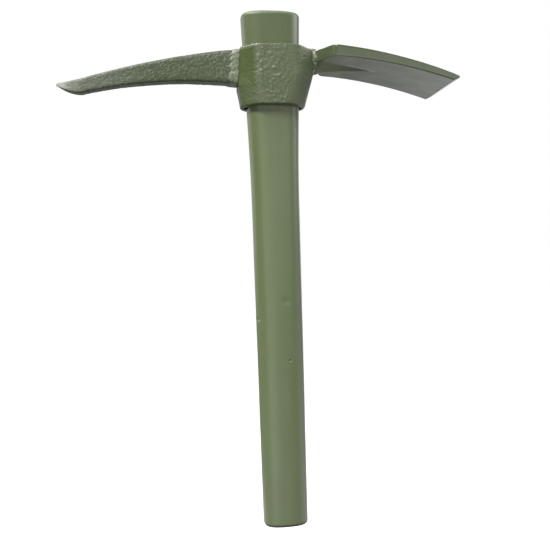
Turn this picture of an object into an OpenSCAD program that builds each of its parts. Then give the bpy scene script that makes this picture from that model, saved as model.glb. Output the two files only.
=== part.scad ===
// Slip-fit pick axe: a wooden handle with a taper at its top, and a steel head that jams on that taper.
// The head is an eye collar with a pick arm welded to one end and an adze blade to the other.
// Frame: origin at the middle of the butt face, Z up along the handle, pick towards -X, adze towards +X.

/* [Handle] */
// Length of the handle from the butt to its top
handle_length = 450; // [420:1:600]
// Width of the handle at the butt
butt_width = 38.8; // [34:0.2:40]
// Depth of the handle at the butt, from front to back
butt_depth = 28; // [24:0.2:30]
// Width of the handle where the grip ends
grip_width = 41.8; // [40.2:0.2:43]
// Width of the handle where the straight taper starts
taper_width = 44.8; // [43.6:0.2:47]
// Width of the handle at its top
top_width = 52.4; // [50:0.2:56]
// Depth of the handle at its top, from front to back
top_depth = 30.4; // [30.2:0.2:34]
// Length of the straight taper, down from the top
taper_length = 105; // [95:1:130]
// Length of the flare between the grip and the taper
flare_length = 65; // [40:1:90]
// Radius on the rims of the butt and the top
handle_rim = 3; // [1:0.2:5]
// Squareness of the handle's section, where 2 is an ellipse
handle_power = 2.7; // [2:0.1:4]

/* [Eye collar] */
// Height of the handle's stub above the collar
stub_height = 30.5; // [20:0.5:38]
// Height of the collar along the handle
collar_height = 52; // [46:0.5:56]
// Gap all round between the handle and the eye
fit_gap = 0.25; // [0.15:0.05:0.6]
// Wall of the collar at its front and back
front_wall = 5.2; // [4.4:0.1:7]
// Wall of the collar at both ends of its lower mouth
mouth_wall = 5.3; // [4.4:0.1:7]
// Wall of the collar at its top, under the pick
pick_end_wall = 2.9; // [2.2:0.1:5]
// Wall of the collar at its top, under the adze
adze_end_wall = 9.7; // [7:0.1:11]
// Depth of the flat land that carries the adze, below its weld
adze_land_toe = 2.6; // [0.6:0.1:4]
// Lean of the flat land that carries the pick
pick_land_lean = 4.4; // [0:0.2:6]
// Reach of the collar's front and back faces towards the pick
pick_front_reach = 15.5; // [13:0.5:19]
// Reach of the collar's front and back faces towards the adze
adze_front_reach = 21.5; // [17:0.5:24]
// Reach of the front and back faces at the mouth, before the corners are rounded
mouth_front_reach = 16; // [13:0.5:18]
// Radius on the lower outer edge of the collar
mouth_round = 1.2; // [0.8:0.1:3.6]
// Radius on the upper outer edge of the collar
rim_round = 0.9; // [0.6:0.1:1.8]
// Radius between a land and its flanks
land_corner = 2.4; // [1.9:0.1:3.6]
// Radius between the flanks and the front or back
front_corner = 13; // [6:0.5:16]
// Radius at the ends of the mouth
mouth_end_corner = 15; // [8:0.5:16]
// Radius between the ends and the front or back of the mouth
mouth_front_corner = 22; // [12:0.5:24]
// Width of the flat at each end of the mouth, before its corners are rounded
mouth_end_flat = 14.8; // [13.4:0.2:17]

/* [Pick arm] */
// Reach of the pick from its root on the collar to its tip
pick_length = 155; // [130:1:190]
// Height of the pick at its root
pick_root_height = 29.3; // [24:0.1:30]
// Thickness of the pick at its root
pick_root_thick = 15; // [12:0.2:18]
// Height of the pick where its ground point starts
pick_nose_height = 12.9; // [8:0.1:14]
// Thickness of the pick where its ground point starts
pick_nose_thick = 10.5; // [7:0.1:12]
// Length of the ground point
pick_point_length = 20; // [12:0.5:28]
// Fall of the upper edge from the root to the ground point
pick_nose_drop = 25.8; // [10:0.2:34]
// Fall of the upper edge from the root to the tip
pick_tip_drop = 29.4; // [14:0.2:40]
// Height and thickness of the blunt tip
pick_tip_size = 1.8; // [1:0.1:3]
// Squareness of the pick's section, where 2 is an ellipse
pick_power = 7; // [3:0.1:8]

/* [Adze blade] */
// Reach of the blade from its root on the collar to the cutting edge
adze_length = 125.8; // [110:0.2:150]
// Width of the neck at the collar
neck_width = 19.4; // [16:0.2:21]
// Height of the neck at the collar, from its top to the foot of its keel
root_height = 19.7; // [18:0.1:22]
// Height of the neck's sides at the collar
neck_height = 9.6; // [8.6:0.1:12]
// Rise of the neck's top at the collar above the line of the blade
neck_rise = 0.8; // [0:0.1:1.6]
// Length over which the neck's sides run out into those of the blade
neck_runout = 7; // [4:0.5:12]
// Depth of the keel under the blade, without its deeper root
keel_depth = 6.4; // [3:0.1:8]
// Length of the keel along the blade
keel_length = 55; // [30:1:70]
// Length of the shoulders along the blade
shoulder_length = 13.5; // [10:0.5:24]
// Width of the blade behind the shoulders
shoulder_width = 65; // [52:0.5:68]
// Width of the blade at the cutting edge
edge_width = 71; // [66:0.5:80]
// Thickness of the blade behind the shoulders
blade_thick = 10; // [7:0.1:12]
// Thickness of the blade where the ground bevel starts
bevel_thick = 6; // [4:0.1:7]
// Thickness of the cutting edge
edge_thick = 1.8; // [0.8:0.1:2.4]
// Length of the ground bevel
bevel_length = 5; // [3:0.5:12]
// Fall of the blade's upper face from the root to the cutting edge
adze_drop = 27.4; // [10:0.2:40]
// Rounding of the blade's long edges
blade_round = 1; // [0.6:0.1:1.9]

/* [Welds] */
// Rise of the pick's weld on the collar
pick_weld_rise = 1.1; // [0.8:0.1:2]
// Length of the pick's weld along the arm
pick_weld_length = 9; // [5:0.5:12]
// Rise of the adze's weld on the collar
adze_weld_rise = 1; // [0.8:0.1:2]
// Length of the adze's weld along the neck
adze_weld_length = 3.5; // [2.5:0.25:8]
// Bare length of an arm, or of the pick's land, left beyond a weld
weld_margin = 0.6; // [0.2:0.1:2]

/* [Hidden] */

paint_green = [0.36, 0.41, 0.27];
wood_green = [0.40, 0.45, 0.31];
ring_points = 64;
arm_points = 32;
rim_steps = 4;
corner_steps = ring_points / 8 - 1;

// Handle levels
taper_start = handle_length - taper_length;
flare_start = taper_start - flare_length;
grip_slope = (grip_width - butt_width) / 2 / flare_start;
taper_slope = (top_width - taper_width) / 2 / taper_length;
grip_rings = 4;
flare_rings = 8;
taper_rings = 4;

// Collar levels and the seats of both arms
collar_top = handle_length - stub_height;
collar_bottom = collar_top - collar_height;
land_top = collar_top - rim_round;
pick_root_top = land_top - pick_weld_rise;
pick_land_bottom = pick_root_top - pick_root_height - pick_weld_rise - weld_margin;
adze_root_top = land_top - adze_weld_rise;
adze_land_bottom = adze_root_top - root_height - adze_weld_rise - adze_land_toe;
land_edge_share = 0.6;
pick_land_half = pick_root_thick / 2 + pick_weld_rise + land_corner * land_edge_share;
adze_land_half = neck_width / 2 + adze_weld_rise + land_corner * land_edge_share;
mouth_reach = handle_half_width(collar_bottom) + fit_gap + mouth_wall;
pick_top_reach = handle_half_width(collar_top) + fit_gap + pick_end_wall;
adze_reach = handle_half_width(collar_top) + fit_gap + adze_end_wall;
pick_root_reach = pick_land_reach(pick_root_top - pick_root_height / 2);
eye_rings = 4;

// Pick stations
pick_straight = pick_weld_length + weld_margin;
pick_bow_length = pick_length - pick_straight - pick_point_length;
pick_bow_share = 0.55;
pick_waist_power = 1.4;
pick_point_power = 1.4;
pick_bow_rings = 16;
pick_point_rings = 4;

// Blade stations
neck_straight = adze_weld_length + weld_margin;
shoulder_end = neck_straight + shoulder_length;
bevel_start = adze_length - bevel_length;
adze_bow_share = 0.31;
bevel_top_share = 0.1;
shoulder_rings = 9;
blade_rings = 9;
bevel_rings = 2;
keel_flank_share = 0.42;
keel_root_share = 0.92;
keel_tip_share = 0.6;
keel_root_depth = root_height - neck_height - keel_depth;
corner_cut_share = 0.3;

// Weld bead forms
bead_bulge_share = 0.16;
bead_ripple_share = 0.14;
pick_bead_ripples = 11;
adze_bead_ripples = 9;

function mix(first, second, share) = first + (second - first) * share;

function limit_share(share) = max(0, min(1, share));

function ease(share) = share * share * (3 - 2 * share);

function signed_power(value, power) = sign(value) * pow(abs(value), power);

// Curve between two values with a slope at each end
function slope_curve(first, first_slope, last, last_slope, length, s) =
    first * (2 * pow(s, 3) - 3 * pow(s, 2) + 1)
    + first_slope * length * (pow(s, 3) - 2 * pow(s, 2) + s)
    + last * (3 * pow(s, 2) - 2 * pow(s, 3))
    + last_slope * length * (pow(s, 3) - pow(s, 2));

// Oval of given half sizes, with points in turn round it
function oval(half_u, half_v, power, count) = [
    for (i = [0:count - 1])
        let (a = 360 * (i + 1 / 2) / count)
        [half_u * signed_power(cos(a), 2 / power), half_v * signed_power(sin(a), 2 / power)]
];

// Half width of the handle at a height
function handle_half_width(z) =
    z < flare_start ? butt_width / 2 + grip_slope * z
    : z < taper_start ? slope_curve(grip_width / 2, grip_slope, taper_width / 2, taper_slope,
        flare_length, (z - flare_start) / flare_length)
    : top_width / 2 - taper_slope * (handle_length - z);

// Half depth of the handle at a height
function handle_half_depth(z) = mix(butt_depth, top_depth, z / handle_length) / 2;

// Outline of the handle at a height, grown by a gap or shrunk where the gap is negative
function handle_ring(z, gap) = [
    for (p = oval(handle_half_width(z) + gap, handle_half_depth(z) + gap, handle_power, ring_points))
        [p.x, p.y, z]
];

// Crossing of two lines, each given by the angle of its normal and its distance
function line_crossing(a1, d1, a2, d2) =
    [d1 * sin(a2) - d2 * sin(a1), d2 * cos(a1) - d1 * cos(a2)] / sin(a2 - a1);

function pick_share(z) = limit_share((z - collar_bottom) / (pick_land_bottom - collar_bottom));

function adze_share(z) = limit_share((z - collar_bottom) / (adze_land_bottom - collar_bottom));

// Distance of the pick's land from the axis at a height
function pick_land_reach(z) = pick_top_reach + (collar_top - z) * tan(pick_land_lean);

// Outward angle of a flank that runs from the end of the front face to the edge of a land
function flank_angle(front, front_reach, end, end_half) = atan2(end - front_reach, front - end_half);

// Angles, distances and corner radii of one quarter of the collar, from its end to its front
function collar_quarter(front, front_reach, end, end_half, end_corner, front_corner) =
    let (a = flank_angle(front, front_reach, end, end_half))
    [a, end, end * cos(a) + end_half * sin(a), end_corner, front_corner];

function pick_quarter(z) =
    let (
        s = pick_share(z),
        end = z > pick_land_bottom ? pick_land_reach(z)
            : mix(mouth_reach, pick_land_reach(pick_land_bottom), s)
    )
    collar_quarter(
        collar_front(z), mix(mouth_front_reach, pick_front_reach, s), end,
        mix(mouth_end_flat / 2, pick_land_half, s), mix(mouth_end_corner, land_corner, s),
        mix(mouth_front_corner, front_corner, s)
    );

function adze_quarter(z) =
    let (s = adze_share(z))
    collar_quarter(
        collar_front(z), mix(mouth_front_reach, adze_front_reach, s), mix(mouth_reach, adze_reach, s),
        mix(mouth_end_flat / 2, adze_land_half, s), mix(mouth_end_corner, land_corner, s),
        mix(mouth_front_corner, front_corner, s)
    );

// Distance of the collar's front and back faces from the axis at a height
function collar_front(z) = handle_half_depth(z) + fit_gap + front_wall;

// Outline of the collar at a height: eight flat faces with round corners, moved in by an inset
function collar_ring(z, inset) =
    let (
        adze = adze_quarter(z),
        pick = pick_quarter(z),
        front = collar_front(z),
        angles = [0, adze[0], 90, 180 - pick[0], 180, 180 + pick[0], 270, 360 - adze[0], 360],
        faces = [adze[1], adze[2], front, pick[2], pick[1], pick[2], front, adze[2], adze[1]],
        corners = [adze[3], adze[4], pick[4], pick[3], pick[3], pick[4], adze[4], adze[3]]
    )
    [
        for (j = [0:7])
            let (
                r = corners[j],
                middle = line_crossing(angles[j], faces[j] - r, angles[j + 1], faces[j + 1] - r)
            )
            for (k = [0:corner_steps])
                let (a = mix(angles[j], angles[j + 1], k / corner_steps))
                [middle.x + (r - inset) * cos(a), middle.y + (r - inset) * sin(a), z]
    ];

// Fall of a bowed line from its start, where bow is the share that falls evenly
function bow_fall(drop, bow, s) = drop * (bow * s + (1 - bow) * s * s);

// Upper edge, height and thickness of the pick at a distance from its root
function pick_section(x) =
    let (
        s = limit_share((x - pick_straight) / pick_bow_length),
        p = limit_share((x - pick_straight - pick_bow_length) / pick_point_length),
        bow_top = pick_root_top - bow_fall(pick_nose_drop, pick_bow_share, s),
        bow_height = mix(pick_nose_height, pick_root_height, pow(1 - s, pick_waist_power)),
        bow_thick = mix(pick_root_thick, pick_nose_thick, s)
    )
    [
        mix(bow_top, pick_root_top - pick_tip_drop, p),
        mix(bow_height, pick_tip_size, pow(p, pick_point_power)),
        mix(bow_thick, pick_tip_size, p)
    ];

// Outline of the pick at a distance from its root, which leans with the collar's land near the root
function pick_ring(x) =
    let (
        section = pick_section(x),
        middle = section[0] - section[1] / 2,
        lean = tan(pick_land_lean) * (1 - limit_share((x - pick_straight) / pick_bow_length))
    )
    [
        for (p = oval(section[2] / 2, section[1] / 2, pick_power, arm_points))
            [p.y * lean - pick_root_reach - x, -p.x, middle + p.y]
    ];

// Half width of the blade at a distance from its root
function blade_half_width(x) =
    x < shoulder_end
        ? mix(neck_width, shoulder_width, ease(limit_share((x - neck_straight) / shoulder_length))) / 2
        : mix(shoulder_width, edge_width, (x - shoulder_end) / (adze_length - shoulder_end)) / 2;

// Share of a form of the neck that is left at a distance from the root
function neck_share(x, length) = 1 - ease(limit_share((x - neck_straight) / length));

// Thickness of the blade below its line at a distance from its root, before the bevel
function blade_plate(x) =
    mix(blade_thick, bevel_thick, limit_share((x - shoulder_end) / (bevel_start - shoulder_end)))
    + (neck_height - neck_rise - blade_thick) * neck_share(x, neck_runout);

// Outline of the blade at a distance from its root, with its keel below
function blade_ring(x) =
    let (
        s = limit_share((x - neck_straight) / (adze_length - neck_straight)),
        ground = limit_share((x - bevel_start) / bevel_length) * (bevel_thick - edge_thick),
        line = adze_root_top - neck_rise - bow_fall(adze_drop, adze_bow_share, s)
            - ground * bevel_top_share,
        top = line + neck_rise * neck_share(x, shoulder_length),
        bottom = line - blade_plate(x) + ground,
        half = blade_half_width(x),
        fade = 1 - limit_share((x - neck_straight) / keel_length),
        keel = keel_depth * fade + keel_root_depth * neck_share(x, neck_runout),
        cut = min(blade_round, (top - bottom) / 3),
        keel_half = neck_width / 2 * mix(keel_tip_share, keel_root_share, fade),
        reach = adze_reach + x,
        side = [
            [half, top - cut],
            [half - cut * corner_cut_share, top - cut * corner_cut_share],
            [half - cut, top],
            [half / 2, top]
        ],
        under = [
            [keel_half / 2, bottom - keel * keel_flank_share],
            [keel_half, bottom],
            [half - cut, bottom],
            [half - cut * corner_cut_share, bottom + cut * corner_cut_share],
            [half, bottom + cut]
        ]
    )
    concat(
        [for (p = side) [reach, p.x, p.y]],
        [[reach, 0, top]],
        [for (i = [3:-1:0]) [reach, -side[i].x, side[i].y]],
        [for (i = [4:-1:0]) [reach, -under[i].x, under[i].y]],
        [[reach, 0, bottom - keel]],
        [for (p = under) [reach, p.x, p.y]]
    );

// Triangles between two neighbouring rings of a form
function band(lower, upper, count) = [
    for (i = [0:count - 1])
        let (n = (i + 1) % count)
        each [
            [lower * count + i, upper * count + i, upper * count + n],
            [lower * count + i, upper * count + n, lower * count + n]
        ]
];

// Solid along a row of rings, closed flat at both ends
module loft(rings) {
    count = len(rings[0]);
    last = len(rings) - 1;
    sides = [for (r = [0:last - 1]) each band(r, r + 1, count)];
    first_end = [for (i = [0:count - 1]) i];
    last_end = [for (i = [count - 1:-1:0]) last * count + i];
    polyhedron(points = [for (ring = rings) each ring], faces = concat(sides, [first_end, last_end]));
}

// Solid ring whose last outline joins its first again
module round_loop(rings) {
    count = len(rings[0]);
    total = len(rings);
    polyhedron(
        points = [for (ring = rings) each ring],
        faces = [for (r = [0:total - 1]) each band(r, (r + 1) % total, count)]
    );
}

// Heights and insets of a rounded rim that starts flat at the lower level
function rim_rise(level, radius) = [
    for (k = [0:rim_steps])
        let (a = 90 * k / rim_steps)
        [level + radius * (1 - cos(a)), radius * (1 - sin(a))]
];

// Heights and insets of a rounded rim that ends flat at the upper level
function rim_fall(level, radius) = [
    for (k = [rim_steps:-1:0])
        let (a = 90 * k / rim_steps)
        [level - radius * (1 - cos(a)), radius * (1 - sin(a))]
];

module handle() {
    grip = [for (k = [1:grip_rings]) [mix(handle_rim, flare_start, k / grip_rings), 0]];
    flare = [for (k = [1:flare_rings]) [mix(flare_start, taper_start, k / flare_rings), 0]];
    top_rim = handle_length - handle_rim;
    taper = [for (k = [1:taper_rings - 1]) [mix(taper_start, top_rim, k / taper_rings), 0]];
    levels = concat(rim_rise(0, handle_rim), grip, flare, taper, rim_fall(handle_length, handle_rim));
    color(wood_green) loft([for (level = levels) handle_ring(level[0], -level[1])]);
}

module eye_collar() {
    knees = [[min(pick_land_bottom, adze_land_bottom), 0], [max(pick_land_bottom, adze_land_bottom), 0]];
    outside = concat(rim_rise(collar_bottom, mouth_round), knees, rim_fall(collar_top, rim_round));
    eye = [for (k = [eye_rings:-1:0]) mix(collar_bottom, collar_top, k / eye_rings)];
    color(paint_green) round_loop(concat(
        [for (level = outside) collar_ring(level[0], level[1])],
        [for (z = eye) handle_ring(z, fit_gap)]
    ));
}

module pick_arm() {
    point_start = pick_straight + pick_bow_length;
    bow = [for (k = [0:pick_bow_rings]) mix(pick_straight, point_start, k / pick_bow_rings)];
    point = [for (k = [1:pick_point_rings]) mix(point_start, pick_length, k / pick_point_rings)];
    color(paint_green) loft([for (x = concat([0], bow, point)) pick_ring(x)]);
}

module adze_blade() {
    shoulder = [for (k = [0:shoulder_rings]) mix(neck_straight, shoulder_end, k / shoulder_rings)];
    plate = [for (k = [1:blade_rings]) mix(shoulder_end, bevel_start, k / blade_rings)];
    bevel = [for (k = [1:bevel_rings]) mix(bevel_start, adze_length, k / bevel_rings)];
    color(paint_green) loft([for (x = concat([0], shoulder, plate, bevel)) blade_ring(x)]);
}

// Lumpy fillet round the root of an arm: side is the arm's outline, out the same outline on the land
// grown by the weld's rise, and way the direction along the arm
module weld_bead(side, out, way, length, ripples) {
    count = len(side);
    turn = 360 * ripples / count;
    legs = [for (i = [0:count - 1]) length * (1 - bead_ripple_share * (1 + sin(turn * i)))];
    foot = [for (i = [0:count - 1]) side[i] + way * legs[i]];
    crown = [for (i = [0:count - 1]) mix(foot[i], out[i], 1 / 2) + (out[i] - side[i] + way * legs[i])
        * bead_bulge_share];
    color(paint_green) round_loop([out, crown, foot, side]);
}

module pick_weld() {
    grown = oval(pick_root_thick / 2 + pick_weld_rise, pick_root_height / 2 + pick_weld_rise, pick_power,
        arm_points);
    middle = pick_root_top - pick_root_height / 2;
    out = [for (p = grown) [-pick_land_reach(middle + p.y), -p.x, middle + p.y]];
    weld_bead(pick_ring(0), out, [-1, 0, 0], pick_weld_length, pick_bead_ripples);
}

module adze_weld() {
    root = blade_ring(0);
    half_height = root_height / 2;
    middle = adze_root_top - half_height;
    wide = 1 + adze_weld_rise / (neck_width / 2);
    tall = 1 + adze_weld_rise / half_height;
    out = [for (p = root) [adze_reach, p.y * wide, mix(middle, p.z, tall)]];
    weld_bead(root, out, [1, 0, 0], adze_weld_length, adze_bead_ripples);
}

handle();
eye_collar();
pick_arm();
adze_blade();
pick_weld();
adze_weld();
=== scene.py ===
import math

import bmesh
import bpy
from mathutils import Matrix, Vector, noise


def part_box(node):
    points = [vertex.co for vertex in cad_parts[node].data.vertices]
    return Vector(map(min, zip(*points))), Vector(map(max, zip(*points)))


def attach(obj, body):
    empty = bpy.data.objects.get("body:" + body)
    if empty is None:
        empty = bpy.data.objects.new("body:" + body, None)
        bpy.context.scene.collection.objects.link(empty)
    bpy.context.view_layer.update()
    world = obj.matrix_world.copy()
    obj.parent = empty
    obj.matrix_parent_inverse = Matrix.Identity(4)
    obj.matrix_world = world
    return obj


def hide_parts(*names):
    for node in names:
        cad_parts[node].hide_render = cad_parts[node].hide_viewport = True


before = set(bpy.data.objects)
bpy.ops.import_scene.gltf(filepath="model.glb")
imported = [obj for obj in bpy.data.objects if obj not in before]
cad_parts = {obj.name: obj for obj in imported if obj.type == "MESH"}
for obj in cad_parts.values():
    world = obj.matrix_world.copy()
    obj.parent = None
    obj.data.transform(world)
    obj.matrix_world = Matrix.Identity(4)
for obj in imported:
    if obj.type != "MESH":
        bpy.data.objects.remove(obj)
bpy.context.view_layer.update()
scene = bpy.context.scene
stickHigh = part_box("handle")[1]
collarLow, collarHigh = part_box("eye_collar")
pickLow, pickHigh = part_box("pick_arm")
bladeLow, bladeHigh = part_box("adze_blade")
print("frame loaded:", ", ".join(sorted(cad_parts)))


# camera, where the photographer stood

shot = {
    "turn": -9.0,                            # degrees round the tool, to its left
    "roll": 1.836,                           # degrees, the tool's top leans to the left
    "stand": (-0.10243, -0.63044, 0.220),    # the lens, metres
    "focal": 720.0,                          # pixels
    "picture": 550.0,                        # pixels across
}


def aimCamera():
    turn, roll = math.radians(shot["turn"]), math.radians(shot["roll"])
    back = Vector((math.sin(turn), -math.cos(turn), 0))
    upward = Vector((0, 0, 1))
    right = upward.cross(back)
    across = right * math.cos(roll) - upward * math.sin(roll)
    up = right * math.sin(roll) + upward * math.cos(roll)
    lens = bpy.data.cameras.new("photoLens")
    lens.lens = shot["focal"] / shot["picture"] * lens.sensor_width
    camera = bpy.data.objects.new("photoCamera", lens)
    scene.collection.objects.link(camera)
    turned = Matrix((across, up, back)).transposed().to_4x4()
    camera.matrix_world = Matrix.Translation(shot["stand"]) @ turned
    scene.camera = camera


aimCamera()
scene.view_settings.view_transform = "Standard"
print("camera aimed")


# small helpers for shapes

def mix(first, last, share):
    return first + (last - first) * share


def limit(share):
    return min(1.0, max(0.0, share))


def ease(share):
    share = limit(share)
    return share * share * (3 - 2 * share)


def spread(first, last, count):
    return [mix(first, last, k / count) for k in range(count + 1)]


def bumpAt(distance, reach):             # 1 in the middle, 0 from reach on
    return ease(1 - distance / reach)


# of the noise: how fast its finer layers weaken, and how much finer each one is
layers = {"fade": 0.9, "step": 2.1}


def grain(point, size, count=2):         # cloudy noise of about -1 to 1, size in metres
    return noise.fractal(point / size, layers["fade"], layers["step"], count,
                         noise_basis="PERLIN_ORIGINAL")


def unitTube(segments, rows, capped):    # tube of radius 1 from z 0 to z rows, one ring per whole z
    bm = bmesh.new()
    bmesh.ops.create_cone(bm, cap_ends=capped, cap_tris=False, segments=segments,
                          radius1=1, radius2=1, depth=rows)
    quarter = Matrix.Rotation(-math.pi / 2, 3, "Z")          # brings the first point onto the X axis
    bmesh.ops.rotate(bm, verts=bm.verts, cent=(0, 0, 0), matrix=quarter)
    bmesh.ops.translate(bm, verts=bm.verts, vec=(0, 0, rows / 2))
    upright = [e for e in bm.edges if abs(e.verts[0].co.z - e.verts[1].co.z) > rows / 2]
    bmesh.ops.subdivide_edges(bm, edges=upright, cuts=rows - 1, use_grid_fill=True)
    return bm


def bendTube(bm, segments, place):       # place gives the point for a step round the ring and a row
    for v in bm.verts:
        step = round(math.atan2(v.co.y, v.co.x) / math.tau * segments) % segments
        v.co = place(step, round(v.co.z))


def closeEnds(bm, rings, depth):         # rings of quads on the flat ends, then a fan
    bm.normal_update()
    for cap in [f for f in bm.faces if len(f.verts) > 4]:
        for ring in range(rings):
            bmesh.ops.inset_region(bm, faces=[cap], thickness=depth, use_even_offset=True)
        bmesh.ops.poke(bm, faces=[cap])


def roughen(bm, height):                 # moves each point along its normal, all at once
    bm.normal_update()
    moves = [(v, v.normal * height(v.co, v.normal)) for v in bm.verts]
    for v, move in moves:
        v.co += move


# point on a square of half size 1, with wide as the share of its upper and lower sides
def squarePoint(share, wide):
    corner = wide / 4
    tall = 0.5 - wide / 2
    share = (share + corner) % 1
    if share < wide / 2:
        return Vector((1 - share / corner, 1))
    share -= wide / 2
    if share < tall:
        return Vector((-1, 1 - 2 * share / tall))
    share -= tall
    if share < wide / 2:
        return Vector((share / corner - 1, -1))
    return Vector((1, 2 * (share - wide / 2) / tall - 1))


def roundOff(point, half, radius):       # rectangle point pulled onto round corners
    inner = Vector((max(-half.x + radius, min(half.x - radius, point.x)),
                    max(-half.y + radius, min(half.y - radius, point.y))))
    out = point - inner
    return inner + out.normalized() * radius if out.length > 0 else point


def joinInto(bm, other):                 # adds another bmesh and returns its open edges
    mesh = bpy.data.meshes.new("joining")
    other.to_mesh(mesh)
    other.free()
    before = set(bm.edges)
    bm.from_mesh(mesh)
    bpy.data.meshes.remove(mesh)
    return [e for e in bm.edges if e not in before and e.is_boundary]


def finishPiece(bm, name, material, body, node):
    bmesh.ops.recalc_face_normals(bm, faces=bm.faces)
    mesh = bpy.data.meshes.new(name)
    bm.to_mesh(mesh)
    bm.free()
    mesh.shade_smooth()
    piece = bpy.data.objects.new(name, mesh)
    scene.collection.objects.link(piece)
    mesh.materials.append(material)
    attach(piece, body)
    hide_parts(node)
    print(name, "made,", len(mesh.polygons), "faces")


# paint

# noise values between which gloss and colour change
clouds = {"gloss": (0.3, 0.7), "tone": (0.35, 0.65)}


def paintNodes(name, shine=0.5):
    material = bpy.data.materials.new(name)
    material.use_nodes = True
    tree = material.node_tree
    where = tree.nodes.new("ShaderNodeTexCoord")
    shader = tree.nodes["Principled BSDF"]
    shader.inputs["Specular IOR Level"].default_value = shine
    return material, tree, where.outputs["Object"], shader


def axisNode(tree, where, axis):          # one coordinate of a point
    parts = tree.nodes.new("ShaderNodeSeparateXYZ")
    tree.links.new(where, parts.inputs[0])
    return parts.outputs[axis]


def cloud(tree, where, scale, detail, stretch=(1, 1, 1)):
    mapping = tree.nodes.new("ShaderNodeMapping")
    mapping.inputs["Scale"].default_value = stretch
    texture = tree.nodes.new("ShaderNodeTexNoise")
    texture.inputs["Scale"].default_value = scale
    texture.inputs["Detail"].default_value = detail
    tree.links.new(where, mapping.inputs["Vector"])
    tree.links.new(mapping.outputs["Vector"], texture.inputs["Vector"])
    return texture.outputs["Fac"]


def band(tree, value, low, high, first, last):
    node = tree.nodes.new("ShaderNodeMapRange")
    for socket, number in zip(("From Min", "From Max", "To Min", "To Max"), (low, high, first, last)):
        node.inputs[socket].default_value = number
    tree.links.new(value, node.inputs["Value"])
    return node.outputs["Result"]


def softBand(tree, value, *numbers):
    result = band(tree, value, *numbers)
    result.node.interpolation_type = "SMOOTHSTEP"
    return result


def blendColour(tree, share, first, second):
    node = tree.nodes.new("ShaderNodeMix")
    node.data_type = "RGBA"
    for socket, colour in ((node.inputs[6], first), (node.inputs[7], second)):       # its colour sockets
        if isinstance(colour, tuple):
            socket.default_value = (*colour, 1)
        else:
            tree.links.new(colour, socket)
    tree.links.new(share, node.inputs["Factor"])
    return node.outputs[2]


def twoTone(tree, value, span, deep, pale):
    return blendColour(tree, band(tree, value, *span, 0, 1), deep, pale)


def vectorNode(tree, operation, value):
    node = tree.nodes.new("ShaderNodeVectorMath")
    node.operation = operation
    tree.links.new(value, node.inputs[0])
    return node


def mathNode(tree, operation, first, second):
    node = tree.nodes.new("ShaderNodeMath")
    node.operation = operation
    for socket, value in zip(node.inputs, (first, second)):
        if isinstance(value, float):
            socket.default_value = value
        else:
            tree.links.new(value, socket)
    return node.outputs[0]


def bumps(tree, height, strength, distance, under=None):
    node = tree.nodes.new("ShaderNodeBump")
    node.inputs["Strength"].default_value = strength
    node.inputs["Distance"].default_value = distance
    tree.links.new(height, node.inputs["Height"])
    if under is not None:
        tree.links.new(under, node.inputs["Normal"])
    return node.outputs["Normal"]


def speckle(tree, shader, speck, gloss, bump):       # the same specks make the paint dull and bumpy
    tree.links.new(band(tree, speck, *clouds["gloss"], *gloss), shader.inputs["Roughness"])
    tree.links.new(bumps(tree, speck, *bump), shader.inputs["Normal"])


def woodPaint():
    look = {
        "deep": (0.082, 0.109, 0.043),
        "pale": (0.0945, 0.121, 0.0535),
        "gloss": (0.285, 0.345), "shine": 0.7,
        "streaks": (60, 4, (1, 1, 0.12)),    # how many per metre, layers, stretch
        "streakTone": (0.35, 0.68),
        "blotches": (22, 3), "blotchTone": (0.4, 0.7), "blotchMost": 0.35,
        "topDarkening": (0.33, 0.40, 0.81),       # heights between which it darkens towards the top, and to what share
        "buttDarkening": (0.12, 0.01, 0.91),
        # painted shade on the end of the butt and its lower rim, which face away from the light
        "rimShade": (0.030, 0.034, 0.027),
        "rimShadeEdge": (0.0013, 0.0036),       # heights of full painted shade and of none
        "dullRim": (0.004, 0.0015, 0.30),    # below the top, where it starts and is full, and how dull
        "fine": (700, 2), "fineBump": (0.12, 0.0004),
        "fibres": (130, 3, (1, 1, 0.15)), "fibreBump": (0.15, 0.0008),
    }
    material, tree, where, shader = paintNodes("oliveWoodPaint", look["shine"])
    streak = cloud(tree, where, *look["streaks"])
    blotch = cloud(tree, where, *look["blotches"])
    colour = twoTone(tree, streak, look["streakTone"], look["deep"], look["pale"])
    mottle = softBand(tree, blotch, *look["blotchTone"], 0, look["blotchMost"])
    tone = vectorNode(tree, "SCALE", blendColour(tree, mottle, colour, look["deep"]))
    height = axisNode(tree, where, "Z")
    heightDarkening = []
    for low, high, dim in (look["topDarkening"], look["buttDarkening"]):
        heightDarkening.append(softBand(tree, height, low, high, 1, dim))
    tree.links.new(mathNode(tree, "MULTIPLY", *heightDarkening), tone.inputs["Scale"])
    # painted shade darkens the butt's end and lower rim
    shadedRim = softBand(tree, height, *look["rimShadeEdge"], 1, 0)
    colour = blendColour(tree, shadedRim, tone.outputs[0], look["rimShade"])
    tree.links.new(colour, shader.inputs["Base Color"])
    start, end, rise = look["dullRim"]
    dull = softBand(tree, height, stickHigh.z - start, stickHigh.z - end, 0, rise)
    gloss = mathNode(tree, "ADD", softBand(tree, blotch, *clouds["gloss"], *look["gloss"]), dull)
    tree.links.new(gloss, shader.inputs["Roughness"])
    fine = bumps(tree, cloud(tree, where, *look["fine"]), *look["fineBump"])
    fibres = bumps(tree, cloud(tree, where, *look["fibres"]), *look["fibreBump"], fine)
    tree.links.new(fibres, shader.inputs["Normal"])
    return material


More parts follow.
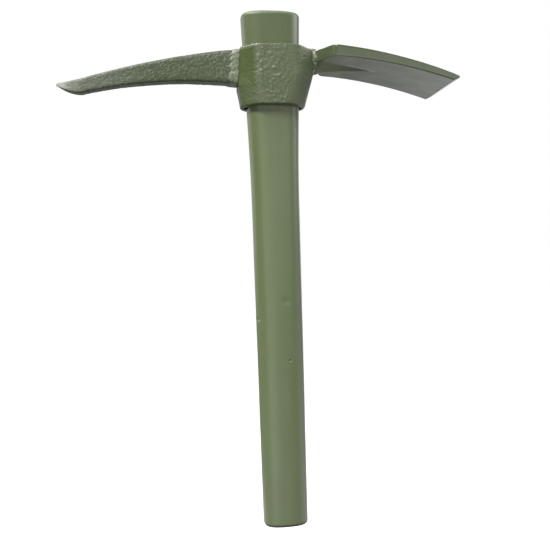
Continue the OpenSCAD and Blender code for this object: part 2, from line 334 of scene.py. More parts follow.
def castPaint():
    look = {
        "deep": (0.057, 0.076, 0.030),
        "pale": (0.070, 0.089, 0.041),
        "run": (0.047, 0.065, 0.020),        # painted shade on the flanks beside the pick, darker and less shiny
        "runStart": (-0.0135, -0.0195),      # where the painted shade begins and is full
        "runFoot": (0.374, 0.398, 0.35),     # heights between which it fades out, and what is left
        "runTop": (0.0045, 0.0015),          # where it ends below the rim
        "gloss": (0.40, 0.52),
        "shine": (0.58, 0.15),               # away from the painted shade and in it
        "blotches": (55, 4), "specks": (400, 3), "speckBump": (0.7, 0.0006),
    }
    material, tree, where, shader = paintNodes("oliveCastPaint")
    blotch = cloud(tree, where, *look["blotches"])
    height = axisNode(tree, where, "Z")
    start, full = look["runStart"]
    low, high, least = look["runFoot"]
    below, rim = look["runTop"]
    # painted shade: the flanks beside the pick get a darker colour and a weaker shine
    run = softBand(tree, axisNode(tree, where, "X"), full, start, 1, 0)
    foot = softBand(tree, height, low, high, least, 1)
    top = softBand(tree, height, collarHigh.z - below, collarHigh.z - rim, 1, 0)
    run = mathNode(tree, "MULTIPLY", mathNode(tree, "MULTIPLY", run, foot), top)
    colour = twoTone(tree, blotch, clouds["tone"], look["deep"], look["pale"])
    tree.links.new(blendColour(tree, run, colour, look["run"]), shader.inputs["Base Color"])
    tree.links.new(band(tree, run, 0, 1, *look["shine"]), shader.inputs["Specular IOR Level"])
    speckle(tree, shader, cloud(tree, where, *look["specks"]), look["gloss"], look["speckBump"])
    return material


def forgedPaint():
    look = {
        "deep": (0.038, 0.051, 0.020),
        "pale": (0.050, 0.064, 0.029),
        "fleck": (0.092, 0.107, 0.066),
        "steel": (0.155, 0.162, 0.142),      # where the point was ground
        "shadow": (0.016, 0.019, 0.012),
        "ground": (0.014, 0.003),            # from its edge to the full colour, metres before the tip
        "rubbed": (0.085, 0.030, 0.30),      # the same for steel that shows through, and how much of it
        "spatter": (0.045, 0.004, 0.10),     # before the root, where flecks get denser, and by how much
        "shaded": (0.060, 0.020, 0.6),       # the same for the shadow colour on the upper edge
        "upper": (0.45, 0.85), "lower": (-0.5, -0.1),       # upward turns of a surface, for the painted shadow on the upper edge and the painted shade under the point
        "gloss": (0.42, 0.60), "shine": 0.4,
        "blotches": (90, 4),
        "specks": (560, 3), "fleckTone": (0.56, 0.70), "speckBump": (0.35, 0.0006),
    }
    material, tree, where, shader = paintNodes("oliveForgedPaint", look["shine"])
    blotch = cloud(tree, where, *look["blotches"])
    speck = cloud(tree, where, *look["specks"])
    colour = twoTone(tree, blotch, clouds["tone"], look["deep"], look["pale"])
    along = axisNode(tree, where, "X")
    sparse, dense, more = look["spatter"]
    spatter = softBand(tree, along, pickHigh.x - sparse, pickHigh.x - dense, 0, more)
    flecks = band(tree, mathNode(tree, "ADD", speck, spatter), *look["fleckTone"], 0, 1)
    worn = blendColour(tree, flecks, colour, look["fleck"])
    upward = axisNode(tree, where.node.outputs["Normal"], "Z")
    edge, full, much = look["shaded"]
    shaded = mathNode(tree, "MULTIPLY", softBand(tree, upward, *look["upper"], 0, much),
                      softBand(tree, along, pickHigh.x - edge, pickHigh.x - full, 0, 1))
    worn = blendColour(tree, shaded, worn, look["shadow"])
    sparse, dense, more = look["rubbed"]
    rubbed = softBand(tree, along, pickLow.x + dense, pickLow.x + sparse, more, 0)
    edge, full = look["ground"]
    point = softBand(tree, along, pickLow.x + full, pickLow.x + edge, 1, 0)
    # the ground and rubbed steel shows only on faces that don't turn downwards; the point's underside keeps
    # the dark paint as painted shade
    point = mathNode(tree, "MULTIPLY", mathNode(tree, "MAXIMUM", point, rubbed),
                     softBand(tree, upward, *look["lower"], 0, 1))
    tree.links.new(blendColour(tree, point, worn, look["steel"]), shader.inputs["Base Color"])
    speckle(tree, shader, speck, look["gloss"], look["speckBump"])
    return material


def platePaint():
    look = {
        "deep": (0.050, 0.0655, 0.028),
        "pale": (0.058, 0.0735, 0.036),
        "gloss": (0.18, 0.24), "shine": 1.0,
        "thick": (0.090, 0.112, 0.050),      # painted light: a paler colour on the downward faces under the neck
        "neck": (0.012, 0.040, 0.30),        # from the root, where that painted light fades and ends, and how dull it is there
        "under": (-0.35, -0.10),             # upward turns of a surface
        "blotches": (35, 3), "fine": (420, 2), "fineBump": (0.06, 0.0004),
    }
    material, tree, where, shader = paintNodes("olivePlatePaint", look["shine"])
    blotch = cloud(tree, where, *look["blotches"])
    colour = twoTone(tree, blotch, clouds["tone"], look["deep"], look["pale"])
    full, end, dull = look["neck"]
    upward = axisNode(tree, where.node.outputs["Normal"], "Z")
    along = axisNode(tree, where, "X")
    # painted light on the downward faces near the root, paler and duller
    neck = mathNode(tree, "MULTIPLY", softBand(tree, upward, *look["under"], 1, 0),
                    softBand(tree, along, bladeLow.x + full, bladeLow.x + end, 1, 0))
    tree.links.new(blendColour(tree, neck, colour, look["thick"]), shader.inputs["Base Color"])
    rough = mathNode(tree, "ADD", band(tree, blotch, *clouds["gloss"], *look["gloss"]),
                     mathNode(tree, "MULTIPLY", neck, dull))
    tree.links.new(rough, shader.inputs["Roughness"])
    fine = bumps(tree, cloud(tree, where, *look["fine"]), *look["fineBump"])
    tree.links.new(fine, shader.inputs["Normal"])
    return material


def beadPaint(name, deep, pale):
    look = {
        "gloss": (0.40, 0.55),
        "specks": (380, 4), "speckTone": (0.44, 0.56), "speckBump": (0.5, 0.0006),
    }
    material, tree, where, shader = paintNodes(name)
    speck = cloud(tree, where, *look["specks"])
    tree.links.new(twoTone(tree, speck, look["speckTone"], deep, pale), shader.inputs["Base Color"])
    speckle(tree, shader, speck, look["gloss"], look["speckBump"])
    return material


paints = {"wood": woodPaint(), "cast": castPaint(), "forged": forgedPaint(), "plate": platePaint()}
print("paints mixed")


# the helve, one painted stick

helve = {
    "buttWidth": 0.0388, "gripWidth": 0.0418, "taperWidth": 0.0448,
    "buttDepth": 0.028,
    "taperLength": 0.105, "flareLength": 0.065,
    "rim": 0.003, "power": 2.7,                        # power 2 would be an ellipse
    "segments": 112, "rimRows": 6, "rowStep": 0.0016, "endRings": 5, "endStep": 0.0018,
    "waveSize": 0.030, "wave": 0.00022, "waveSquash": 0.35,           # long waves of hand shaving
    "waveFade": (0.1, 0.02),                           # where they fade, from the top and from the butt
    "dentBack": 0.002,                                 # dents are in front of this
    "smallDent": 0.0025, "dentEdge": 0.0015, "dentCuts": 2,           # small dents get a finer mesh
    "dents": [                                         # x, height, radius, depth
        (0.0045, 0.1965, 0.0045, 0.00060),
        (0.0042, 0.1928, 0.0018, -0.00030),
        (0.0064, 0.1452, 0.0014, 0.00130),
        (0.0044, 0.1446, 0.0010, -0.00025),
        (0.0100, 0.0215, 0.0030, 0.00035),
        (-0.0195, 0.1815, 0.0020, 0.00045),
    ],
}
stickTop = stickHigh.z
topHalf = Vector((stickHigh.x, stickHigh.y))
taperStart = stickTop - helve["taperLength"]
flareStart = taperStart - helve["flareLength"]
gripSlope = (helve["gripWidth"] - helve["buttWidth"]) / 2 / flareStart
taperSlope = (topHalf.x - helve["taperWidth"] / 2) / helve["taperLength"]


def helveHalf(z):                        # half width and half depth at a height
    s = (z - flareStart) / helve["flareLength"]
    if s < 0:
        wide = helve["buttWidth"] / 2 + gripSlope * z
    elif s > 1:
        wide = topHalf.x - taperSlope * (stickTop - z)
    else:                                # a curve that follows both slopes at its ends
        wide = (helve["gripWidth"] / 2 * (2 * s ** 3 - 3 * s ** 2 + 1)
                + gripSlope * helve["flareLength"] * (s ** 3 - 2 * s ** 2 + s)
                + helve["taperWidth"] / 2 * (3 * s ** 2 - 2 * s ** 3)
                + taperSlope * helve["flareLength"] * (s ** 3 - s ** 2))
    return Vector((wide, mix(helve["buttDepth"] / 2, topHalf.y, z / stickTop)))


def oval(angle, half, power):            # point on the outline of a rounded plank
    c, s = math.cos(angle), math.sin(angle)
    return Vector((half.x * math.copysign(abs(c) ** (2 / power), c),
                   half.y * math.copysign(abs(s) ** (2 / power), s)))


def rimLevels(level, radius, rows, upward):    # height and inset of each row of a rounded rim
    turns = [math.pi / 2 * k / rows for k in range(rows + 1)]
    way = 1 if upward else -1
    levels = [(level + way * radius * (1 - math.cos(a)), radius * (1 - math.sin(a))) for a in turns]
    return levels if upward else levels[::-1]


def refineDents(bm):
    for x, z, reach in [dent[:3] for dent in helve["dents"] if dent[2] < helve["smallDent"]]:
        wide = reach + helve["dentEdge"]
        near = {v for v in bm.verts if v.co.y < 0 and math.hypot(v.co.x - x, v.co.z - z) < wide}
        inside = [e for e in bm.edges if near.issuperset(e.verts)]
        bmesh.ops.subdivide_edges(bm, edges=inside, cuts=helve["dentCuts"], use_grid_fill=True)


def makeHelve():
    rim = helve["rim"]
    rows = round((stickTop - 2 * rim) / helve["rowStep"])
    middle = [(z, 0) for z in spread(rim, stickTop - rim, rows)[1:-1]]
    levels = (rimLevels(0, rim, helve["rimRows"], True) + middle
              + rimLevels(stickTop, rim, helve["rimRows"], False))
    segments = helve["segments"]

    def place(step, row):
        z, inset = levels[row]
        half = helveHalf(z) - Vector((inset, inset))
        return oval(math.tau * step / segments, half, helve["power"]).to_3d() + Vector((0, 0, z))

    def shaving(point, normal):
        top, butt = helve["waveFade"]
        fade = limit((stickTop - point.z) / top) * limit(point.z / butt) * (1 - abs(normal.z))
        squashed = Vector((point.x, point.y, point.z * helve["waveSquash"]))
        height = grain(squashed, helve["waveSize"]) * helve["wave"] * fade
        if point.y < helve["dentBack"]:
            for x, z, reach, depth in helve["dents"]:
                height -= depth * bumpAt(math.hypot(point.x - x, point.z - z), reach)
        return height

    bm = unitTube(segments, len(levels) - 1, True)
    bendTube(bm, segments, place)
    closeEnds(bm, helve["endRings"], helve["endStep"])
    refineDents(bm)
    roughen(bm, shaving)
    finishPiece(bm, "paintedHelve", paints["wood"], "helve", "handle")


makeHelve()


# the eye collar

collar = {
    "fitGap": 0.00025, "frontWall": 0.0052, "mouthWall": 0.0053, "pickWall": 0.0029,
    "pickLean": 4.4,                                   # degrees
    "pickFront": 0.0155, "adzeFront": 0.0215, "mouthFront": 0.016,     # reach of the front face
    "mouthRound": 0.0012, "rimRound": 0.0016,
    "topFall": 0.0022, "fallStart": 0.016, "fallHeight": 0.014,        # the top drops towards the adze
    "landCorner": 0.0024, "frontCorner": 0.013, "mouthEndCorner": 0.015, "mouthFrontCorner": 0.022,
    "mouthFlat": 0.0074,
    "pickLand": (0.3857, 0.01004), "adzeLand": (0.3943, 0.01214),      # lower end and half width
    "arcSteps": 9, "flatSteps": (9, 11, 26, 11, 9, 11, 26, 11),
    "rowStep": 0.0009, "rimRows": 5, "eyeRows": 24,
    "lumpSize": 0.0021, "lump": 0.0010, "castSize": 0.018, "cast": 0.0003,
    "lumpPlace": (-0.004, 0.030, 0.3),                 # middle, reach, and the share left beyond
    "lumpTurn": 1.2, "levelTurn": 0.9,                 # the ends have few lumps, level faces none
}
collarTop, collarBottom = collarHigh.z, collarLow.z


def collarFront(z):
    return helveHalf(z).y + collar["fitGap"] + collar["frontWall"]


# a flank's angle, the distances of the end and of the flank, and the radii of their corners
def collarQuarter(front, frontReach, end, endHalf, endCorner, frontCorner):
    turn = math.atan2(end - frontReach, front - endHalf)
    return turn, end, end * math.cos(turn) + endHalf * math.sin(turn), endCorner, frontCorner


def pickLandReach(z):                    # the land on which the pick stands leans a little
    lean = math.tan(math.radians(collar["pickLean"]))
    return helveHalf(collarTop).x + collar["fitGap"] + collar["pickWall"] + (collarTop - z) * lean


def collarSide(z, land, landEnd, frontReach):      # one end, from the round mouth up to its flat land
    low, half = land
    s = limit((z - collarBottom) / (low - collarBottom))
    mouthEnd = helveHalf(collarBottom).x + collar["fitGap"] + collar["mouthWall"]
    return collarQuarter(
        collarFront(z), mix(collar["mouthFront"], frontReach, s), mix(mouthEnd, landEnd, s),
        mix(collar["mouthFlat"], half, s), mix(collar["mouthEndCorner"], collar["landCorner"], s),
        mix(collar["mouthFrontCorner"], collar["frontCorner"], s))


def crossing(a1, d1, a2, d2):            # of two lines, each by its normal's angle and its distance
    return Vector((d1 * math.sin(a2) - d2 * math.sin(a1),
                   d2 * math.cos(a1) - d1 * math.cos(a2))) / math.sin(a2 - a1)


def collarOutline(z, inset):             # eight flats with round corners, in turn from the adze's land
    pickReach = pickLandReach(max(z, collar["pickLand"][0]))
    adzeTurn, adzeEnd, adzeFlank, *adzeCorners = collarSide(
        z, collar["adzeLand"], collarHigh.x, collar["adzeFront"])
    pickTurn, pickEnd, pickFlank, *pickCorners = collarSide(
        z, collar["pickLand"], pickReach, collar["pickFront"])
    front = collarFront(z)
    half = math.pi / 2
    angles = [0, adzeTurn, half, math.pi - pickTurn, math.pi, math.pi + pickTurn, 3 * half,
              math.tau - adzeTurn, math.tau]
    faces = [adzeEnd, adzeFlank, front, pickFlank, pickEnd, pickFlank, front, adzeFlank, adzeEnd]
    corners = adzeCorners + pickCorners[::-1] + pickCorners + adzeCorners[::-1]
    arcs = []
    for j, radius in enumerate(corners):
        middle = crossing(angles[j], faces[j] - radius, angles[j + 1], faces[j + 1] - radius)
        turns = spread(angles[j], angles[j + 1], collar["arcSteps"])
        arcs.append([middle + Vector((math.cos(a), math.sin(a))) * (radius - inset) for a in turns])
    points = []
    for j, arc in enumerate(arcs):
        following = (j + 1) % len(arcs)
        flat = collar["flatSteps"][following]
        points += arc + [mix(arc[-1], arcs[following][0], k / flat) for k in range(1, flat)]
    return [p.to_3d() + Vector((0, 0, z)) for p in points]


def dropped(point):                      # the upper rim hangs down a little beside the adze
    along = ease((point.x - collar["fallStart"]) / (collarHigh.x - collar["fallStart"]))
    high = limit(1 - (collarTop - point.z) / collar["fallHeight"])
    return point - Vector((0, 0, collar["topFall"] * along * high))


def makeCollar():
    rows = round((collarTop - collarBottom) / collar["rowStep"])
    low, high = collarBottom + collar["mouthRound"], collarTop - collar["rimRound"]
    levels = (rimLevels(collarBottom, collar["mouthRound"], collar["rimRows"], True)
              + [(z, 0) for z in spread(low, high, rows)[1:-1]]
              + rimLevels(collarTop, collar["rimRound"], collar["rimRows"], False))
    outlines = [[dropped(p) for p in collarOutline(z, inset)] for z, inset in levels]
    segments = len(outlines[0])
    eyeLevels = spread(collarBottom, collarTop, collar["eyeRows"])
    gap = Vector((collar["fitGap"], collar["fitGap"]))

    def eyePlace(step, row):             # the eye's points face those of the outside
        z = eyeLevels[row]
        out = outlines[len(outlines) // 2][step]
        half = helveHalf(z) + gap
        power = helve["power"]
        reach = (abs(out.x / half.x) ** power + abs(out.y / half.y) ** power) ** (1 / power)
        return Vector((out.x / reach, out.y / reach, z))

    def casting(point, normal):
        if abs(normal.z) > collar["levelTurn"]:
            return 0
        middle, reach, least = collar["lumpPlace"]
        lumps = max(0, grain(point, collar["lumpSize"]))
        lumps *= mix(least, 1, bumpAt(abs(point.x - middle), reach))
        lumps *= limit(1 - abs(normal.x) * collar["lumpTurn"])
        return lumps * collar["lump"] + grain(point, collar["castSize"]) * collar["cast"]

    bm = unitTube(segments, len(levels) - 1, False)
    bendTube(bm, segments, lambda step, row: outlines[row][step])
    roughen(bm, casting)
    outer = [e for e in bm.edges if e.is_boundary]
    eye = unitTube(segments, collar["eyeRows"], False)
    bendTube(eye, segments, eyePlace)
    inner = joinInto(bm, eye)
    for z in (collarBottom, collarTop):
        rims = [e for e in outer + inner if abs(e.verts[0].co.z - z) < collar["fallHeight"]]
        bmesh.ops.bridge_loops(bm, edges=rims)
    finishPiece(bm, "forgedCollar", paints["cast"], "head", "eye_collar")


makeCollar()


# the pick arm

pick = {
    "rootHeight": 0.0293, "rootThick": 0.015, "noseHeight": 0.0129, "noseThick": 0.0105,
    "rootTop": 0.4175, "straight": 0.0096, "pointLength": 0.020,
    "noseDrop": 0.0258, "tipDrop": 0.0294, "tipSize": 0.0018,
    "bow": 0.55, "waist": 1.4,                         # how the line bends and narrows
    "bellyLength": 0.024, "belly": 2.0,                # how the lower edge comes up to the tip
    "pointLean": 0.5,                                  # how much the ground faces look upwards
    "power": 7.0,                                      # power 2 would be an ellipse
    "segments": 132, "rowStep": 0.0008, "endRings": 2, "endStep": 0.0002,
    "levelShare": 0.3,                                 # of the points, on the upper and lower edges
    "scaleSize": 0.0021, "scaleLayers": 3, "scale": 0.00022,
    "pitSize": 0.0046, "pitStart": 0.1, "pit": 0.00030,
    "pitShift": (3, 1, 2),                             # keeps the pits apart from the scale
    "hammerSize": 0.016, "hammer": 0.00020,
    "rootSmooth": 0.004, "tipSmooth": (0.020, 0.3),    # lengths of the change, its start as a share
    "upperSmooth": (0.1, 0.5, 0.75),                   # upward turn, span, and how much smoother
}
pickRoot = pickLandReach(pick["rootTop"] - pick["rootHeight"] / 2)
pickLength = -pickLow.x - pickRoot
pickBow = pickLength - pick["straight"] - pick["pointLength"]


def bowFall(drop, bow, s):               # how far a bent line has dropped, straight where bow is 1
    return drop * (bow * s + (1 - bow) * s * s)


def pickBelly(x):                        # 0 up to the ground point, 1 at the tip
    return limit(1 + (x - pickLength) / pick["bellyLength"])


def pickSection(x):                      # upper edge, height and thickness
    s = limit((x - pick["straight"]) / pickBow)
    p = limit((x - pick["straight"] - pickBow) / pick["pointLength"])
    bowTop = pick["rootTop"] - bowFall(pick["noseDrop"], pick["bow"], s)
    bowHeight = mix(pick["noseHeight"], pick["rootHeight"], (1 - s) ** pick["waist"])
    return (mix(bowTop, pick["rootTop"] - pick["tipDrop"], p),
            mix(bowHeight, pick["tipSize"], pickBelly(x) ** pick["belly"]),
            mix(mix(pick["rootThick"], pick["noseThick"], s), pick["tipSize"], p))


def pickPoint(share, x):
    top, height, thick = pickSection(x)
    square = squarePoint(share, pick["levelShare"])
    power = pick["power"]
    square /= (abs(square.x) ** power + abs(square.y) ** power) ** (1 / power)
    lean = math.tan(math.radians(collar["pickLean"])) * (1 - limit((x - pick["straight"]) / pickBow))
    rise = square.y * height / 2
    across = square.x * thick / 2 * (1 - square.y * pickBelly(x) * pick["pointLean"])
    return Vector((rise * lean - pickRoot - x, -across, top - height / 2 + rise))


def makePick():
    stations = spread(0, pickLength, round(pickLength / pick["rowStep"]))
    segments = pick["segments"]

    def forging(point, normal):
        length, start = pick["tipSmooth"]
        turn, span, most = pick["upperSmooth"]
        along = limit((pickRoot + pickLength + point.x) / length - start)
        held = limit((-pickRoot - point.x) / pick["rootSmooth"])
        scale = grain(point, pick["scaleSize"], pick["scaleLayers"]) * pick["scale"]
        pitted = grain(point + Vector(pick["pitShift"]), pick["pitSize"]) - pick["pitStart"]
        rough = scale - max(0, pitted) * pick["pit"]
        rough *= 1 - most * ease((normal.z - turn) / span)
        return (rough + grain(point, pick["hammerSize"]) * pick["hammer"]) * along * held

    bm = unitTube(segments, len(stations) - 1, True)
    bendTube(bm, segments, lambda step, row: pickPoint(step / segments, stations[row]))
    closeEnds(bm, pick["endRings"], pick["endStep"])
    roughen(bm, forging)
    finishPiece(bm, "pickSpike", paints["forged"], "head", "pick_arm")


makePick()


# the adze blade

blade = {
    "rootTop": 0.4176, "rootHeight": 0.0197,
    "neckWidth": 0.0194, "neckHeight": 0.0096, "neckRise": 0.0008, "neckRunout": 0.007,
    "keelDepth": 0.0064, "keelLength": 0.055, "keelHollow": 1.25,
    "keelSpread": 0.0125, "keelEnd": 0.002,            # half widths at the root and where it runs out
    "keelMost": 0.95,                                  # of the blade's own width
    "straight": 0.0041, "shoulderLength": 0.0135, "shoulderWidth": 0.065, "edgeWidth": 0.071,
    "plate": 0.010, "bevelPlate": 0.006, "edge": 0.0018, "bevelLength": 0.005,
    "drop": 0.0274, "bow": 0.31, "bevelTop": 0.1,
    "corner": 0.0010, "cornerMost": 1 / 3,             # radius, and its share of a thin plate
    "segments": 168, "rowStep": 0.0010, "endRings": 1, "endStep": 0.0003,
    "levelShare": 0.84,                                # of the points, on the upper and lower faces
    "ripple": 0.00010, "rippleSize": 0.022,
    "rippleFade": (0.02, 0.01),                        # from the root and from the edge
}
bladeRoot = collarHigh.x
bladeLength = bladeHigh.x - bladeRoot
shoulderEnd = blade["straight"] + blade["shoulderLength"]
bevelStart = bladeLength - blade["bevelLength"]


def bladeHalfWidth(x):
    if x < shoulderEnd:
        s = (x - blade["straight"]) / blade["shoulderLength"]
        return mix(blade["neckWidth"], blade["shoulderWidth"], ease(s)) / 2
    s = (x - shoulderEnd) / (bladeLength - shoulderEnd)
    return mix(blade["shoulderWidth"], blade["edgeWidth"], s) / 2


def neckShare(x, length):                # how much of a form of the neck is left
    return 1 - ease((x - blade["straight"]) / length)


def bladePlate(x):                       # thickness below the blade's line, before the bevel
    extra = blade["neckHeight"] - blade["neckRise"] - blade["plate"]
    s = limit((x - shoulderEnd) / (bevelStart - shoulderEnd))
    return mix(blade["plate"], blade["bevelPlate"], s) + extra * neckShare(x, blade["neckRunout"])


def bladePoint(share, x):
    s = limit((x - blade["straight"]) / (bladeLength - blade["straight"]))
    ground = limit((x - bevelStart) / blade["bevelLength"]) * (blade["bevelPlate"] - blade["edge"])
    line = (blade["rootTop"] - blade["neckRise"] - bowFall(blade["drop"], blade["bow"], s)
            - ground * blade["bevelTop"])
    top = line + blade["neckRise"] * neckShare(x, blade["shoulderLength"])
    bottom = line - bladePlate(x) + ground
    half = Vector((bladeHalfWidth(x), (top - bottom) / 2))
    square = squarePoint(share, blade["levelShare"])
    radius = min(blade["corner"], (top - bottom) * blade["cornerMost"])
    p = roundOff(Vector((square.x * half.x, square.y * half.y)), half, radius)
    z = (top + bottom) / 2 + p.y
    if p.y < 0:
        fade = 1 - limit((x - blade["straight"]) / blade["keelLength"])
        root = blade["rootHeight"] - blade["neckHeight"] - blade["keelDepth"]
        keel = blade["keelDepth"] * fade + root * neckShare(x, blade["neckRunout"])
        keelHalf = min(half.x * blade["keelMost"], mix(blade["keelEnd"], blade["keelSpread"], fade))
        z -= keel * limit(1 - abs(p.x) / keelHalf) ** blade["keelHollow"]
    return Vector((bladeRoot + x, p.x, z))


def makeBlade():
    stations = spread(0, bladeLength, round(bladeLength / blade["rowStep"]))
    segments = blade["segments"]

    def rolling(point, normal):
        root, edge = blade["rippleFade"]
        held = limit((point.x - bladeRoot) / root) * limit((bladeHigh.x - point.x) / edge)
        return grain(point, blade["rippleSize"]) * blade["ripple"] * held

    bm = unitTube(segments, len(stations) - 1, True)
    bendTube(bm, segments, lambda step, row: bladePoint(step / segments, stations[row]))
    closeEnds(bm, blade["endRings"], blade["endStep"])
    roughen(bm, rolling)
    finishPiece(bm, "adzePlate", paints["plate"], "head", "adze_blade")


makeBlade()


# the two weld beads

beads = {
    "pickRise": 0.0011, "pickLength": 0.012,           # up the collar and along the arm
    "adzeRise": 0.0010, "adzeLength": 0.006,
    "sink": 0.0008, "footSink": 0.2,                   # both ends sit a little inside the steel
    "bulge": 0.16, "segments": 180, "rows": 14, "ripple": 0.30, "rippleSize": 0.0050,
    "lumpSize": 0.0019, "pickLump": 0.0006, "adzeLump": 0.0011,
    "pickColours": ((0.072, 0.090, 0.046), (0.130, 0.150, 0.095)),     # in the pits and on the lumps
    # the adze bead's pale lumps are partly worn paint and partly painted highlight
    "adzeColours": ((0.090, 0.110, 0.060), (0.360, 0.380, 0.280)),
}


def makeBead(name, node, side, out, way, length, height, colours):
    rows, segments = beads["rows"], beads["segments"]

    def place(step, row):                # rows go from the edge on the collar to the foot, then to the root
        root, edge = side(step / segments), out(step / segments)
        if row == rows:
            return root
        share = row / (rows - 1)
        leg = length * (1 - beads["ripple"] * (1 + grain(root, beads["rippleSize"])))
        foot = root + way * leg - (edge - root) * beads["footSink"]
        if row == 0:
            edge -= way * beads["sink"]
        swell = edge - root + way * leg
        point = edge.lerp(foot, share)
        lump = grain(point, beads["lumpSize"]) * height / swell.length
        return point + swell * (beads["bulge"] + lump) * math.sin(math.pi * share)

    bm = unitTube(segments, rows, False)
    bendTube(bm, segments, place)
    bmesh.ops.bridge_loops(bm, edges=[e for e in bm.edges if e.is_boundary])
    finishPiece(bm, name, beadPaint(name + "Paint", *colours), "head", node)


def pickGrown(share):                    # edge of the pick's bead on the collar
    p = pickPoint(share, 0)
    middle = pick["rootTop"] - pick["rootHeight"] / 2
    grownY = p.y * (1 + beads["pickRise"] / (pick["rootThick"] / 2))
    grownZ = mix(middle, p.z, 1 + beads["pickRise"] / (pick["rootHeight"] / 2))
    return Vector((-pickLandReach(grownZ), grownY, grownZ))


def bladeGrown(share):                   # edge of the adze's bead on the collar
    p = bladePoint(share, 0)
    halfHeight = blade["rootHeight"] / 2
    middle = blade["rootTop"] - halfHeight
    wide = 1 + beads["adzeRise"] / (blade["neckWidth"] / 2)
    tall = 1 + beads["adzeRise"] / halfHeight
    return Vector((bladeRoot, p.y * wide, mix(middle, p.z, tall)))


makeBead("pickBead", "pick_weld", lambda share: pickPoint(share, 0), pickGrown, Vector((-1, 0, 0)),
         beads["pickLength"], beads["pickLump"], beads["pickColours"])
makeBead("adzeBead", "adze_weld", lambda share: bladePoint(share, 0), bladeGrown, Vector((1, 0, 0)),
         beads["adzeLength"], beads["adzeLump"], beads["adzeColours"])


# studio: a dim room with soft glows, a key lamp high on the left, two panels in front and one behind

studio = {
    "room": 0.075,                                     # light from every side
    # strength, degrees to the left of the front, degrees up, degrees of full light and of none
    "glows": {
        "backLeft": (0.8, 146, 10, 12, 38),
        "backRight": (0.9, -140, 2, 14, 38),
        "rightWall": (0.5, -82, 33, 17, 35),
        "topLeft": (30.0, 96, 55, 3, 9),
        "leftWall": (0.8, 116, 24, 10, 30),
    },
    "sheens": {                                        # glows that only reflections show
        "rightHigh": (3.4, -82, 37, 18, 31),
        "rightLow": (0.9, -80, -5, 14, 38),
        "rightBack": (0.7, -135, -8, 8, 22),
    },
    # degrees left and up, distance, size, watts, and whether reflections show it
    "lamps": {
        "keyLamp": (40, 54, 4.0, (3.00, 0.74), 343.0, True),
        "leftPanel": (17.5, -3.5, 2.4, (1.99, 1.80), 13.3, True),
        "rightPanel": (-24, 8.5, 2.4, (1.65, 1.15), 6.4, True),
        "backPanel": (-164, 4, 2.4, (1.60, 1.60), 26.0, False),
    },
    "aim": (0, 0, 0.26),
    "floorLevel": -0.9, "floorSize": 60.0, "floorCells": 8, "floorRough": 0.9,
    "floorColour": 0.8, "floorLift": 0.60,             # as the camera sees it, and its glow there
    "floorMirror": 1.06,                               # its glow in reflections
    "floorShade": (0.20, 0.28, 1.7, 2.8),              # its colour near and far, radii of the change
    "floorFade": (2.6, 3.8),                           # radii between which that glow ends
}


def towards(left, up):                   # direction by degrees to the left of the front and degrees up
    left, up = math.radians(left), math.radians(up)
    return Vector((-math.sin(left) * math.cos(up), -math.cos(left) * math.cos(up), math.sin(up)))


def glowNode(tree, where, strength, left, up, full, end):      # a soft round patch in one direction
    dot = vectorNode(tree, "DOT_PRODUCT", where)
    dot.inputs[1].default_value = towards(left, up)
    edges = [math.cos(math.radians(angle)) for angle in (end, full)]
    return softBand(tree, dot.outputs["Value"], *edges, 0, strength)


def sheenNode(tree, where, path):
    total = 0.0
    for sheen in studio["sheens"].values():
        total = mathNode(tree, "ADD", glowNode(tree, where, *sheen), total)
    return mathNode(tree, "MULTIPLY", path["Is Glossy Ray"], total)


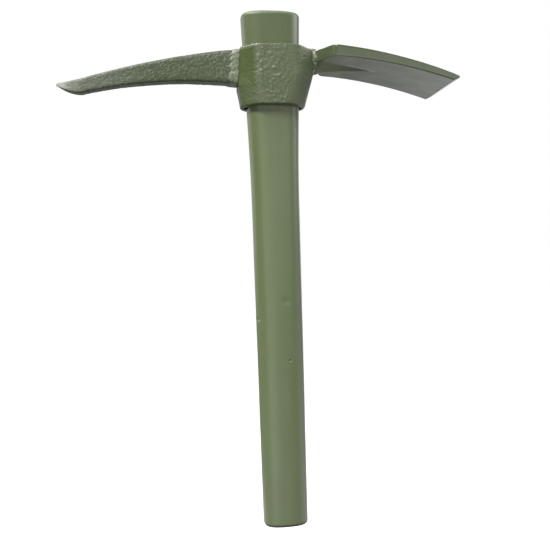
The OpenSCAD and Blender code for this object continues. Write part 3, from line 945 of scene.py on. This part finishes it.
def lightStudio():
    world = bpy.data.worlds.new("whiteStudio")
    scene.world = world
    world.use_nodes = True
    tree = world.node_tree
    where = tree.nodes.new("ShaderNodeTexCoord").outputs["Generated"]
    total = studio["room"]
    for glow in studio["glows"].values():
        total = mathNode(tree, "ADD", glowNode(tree, where, *glow), total)
    path = tree.nodes.new("ShaderNodeLightPath").outputs
    total = mathNode(tree, "ADD", sheenNode(tree, where, path), total)
    for ray in ("Is Camera Ray", "Is Transmission Ray"):       # what is looked at directly is white
        total = mathNode(tree, "MAXIMUM", total, path[ray])
    tree.links.new(total, tree.nodes["Background"].inputs["Strength"])
    tree.nodes["Background"].inputs["Color"].default_value = (1, 1, 1, 1)

    for name, (left, up, distance, size, watts, mirrored) in studio["lamps"].items():
        light = bpy.data.lights.new(name, "AREA")
        light.shape = "RECTANGLE"
        light.size, light.size_y = size
        light.energy = watts
        lamp = bpy.data.objects.new(name, light)
        scene.collection.objects.link(lamp)
        lamp.location = Vector(studio["aim"]) + towards(left, up) * distance
        lamp.rotation_euler = towards(left, up).to_track_quat("Z", "Y").to_euler()
        lamp.visible_camera = False
        lamp.visible_glossy = mirrored


def layFloor():
    material, tree, where, shader = paintNodes("whiteFloor")
    shader.inputs["Roughness"].default_value = studio["floorRough"]
    shader.inputs["Emission Color"].default_value = (1, 1, 1, 1)
    path = tree.nodes.new("ShaderNodeLightPath").outputs
    seen = path["Is Camera Ray"]
    radius = vectorNode(tree, "LENGTH", where).outputs["Value"]
    near, far, *edges = studio["floorShade"]
    shade = softBand(tree, radius, *edges, near, far)
    colour = mathNode(tree, "MAXIMUM", shade, mathNode(tree, "MULTIPLY", seen, studio["floorColour"]))
    tree.links.new(colour, shader.inputs["Base Color"])
    start = softBand(tree, radius, *edges, 0, 1)
    end = softBand(tree, radius, *studio["floorFade"], 1, 0)
    mirrored = mathNode(tree, "MULTIPLY", path["Is Glossy Ray"], mathNode(tree, "MULTIPLY", start, end))
    lift = mathNode(tree, "MAXIMUM", mathNode(tree, "MULTIPLY", seen, studio["floorLift"]),
                    mathNode(tree, "MULTIPLY", mirrored, studio["floorMirror"]))
    direction = vectorNode(tree, "NORMALIZE", where).outputs[0]
    sheen = sheenNode(tree, direction, path)             # the floor hides the lower part of the room
    tree.links.new(mathNode(tree, "ADD", lift, sheen), shader.inputs["Emission Strength"])
    bm = bmesh.new()
    cells = studio["floorCells"]
    bmesh.ops.create_grid(bm, x_segments=cells, y_segments=cells, size=studio["floorSize"] / 2)
    bmesh.ops.translate(bm, verts=bm.verts, vec=(0, 0, studio["floorLevel"]))
    mesh = bpy.data.meshes.new("floor")
    bm.to_mesh(mesh)
    bm.free()
    mesh.materials.append(material)
    floor = bpy.data.objects.new("floor", mesh)
    scene.collection.objects.link(floor)


lightStudio()
layFloor()
print("studio lit")
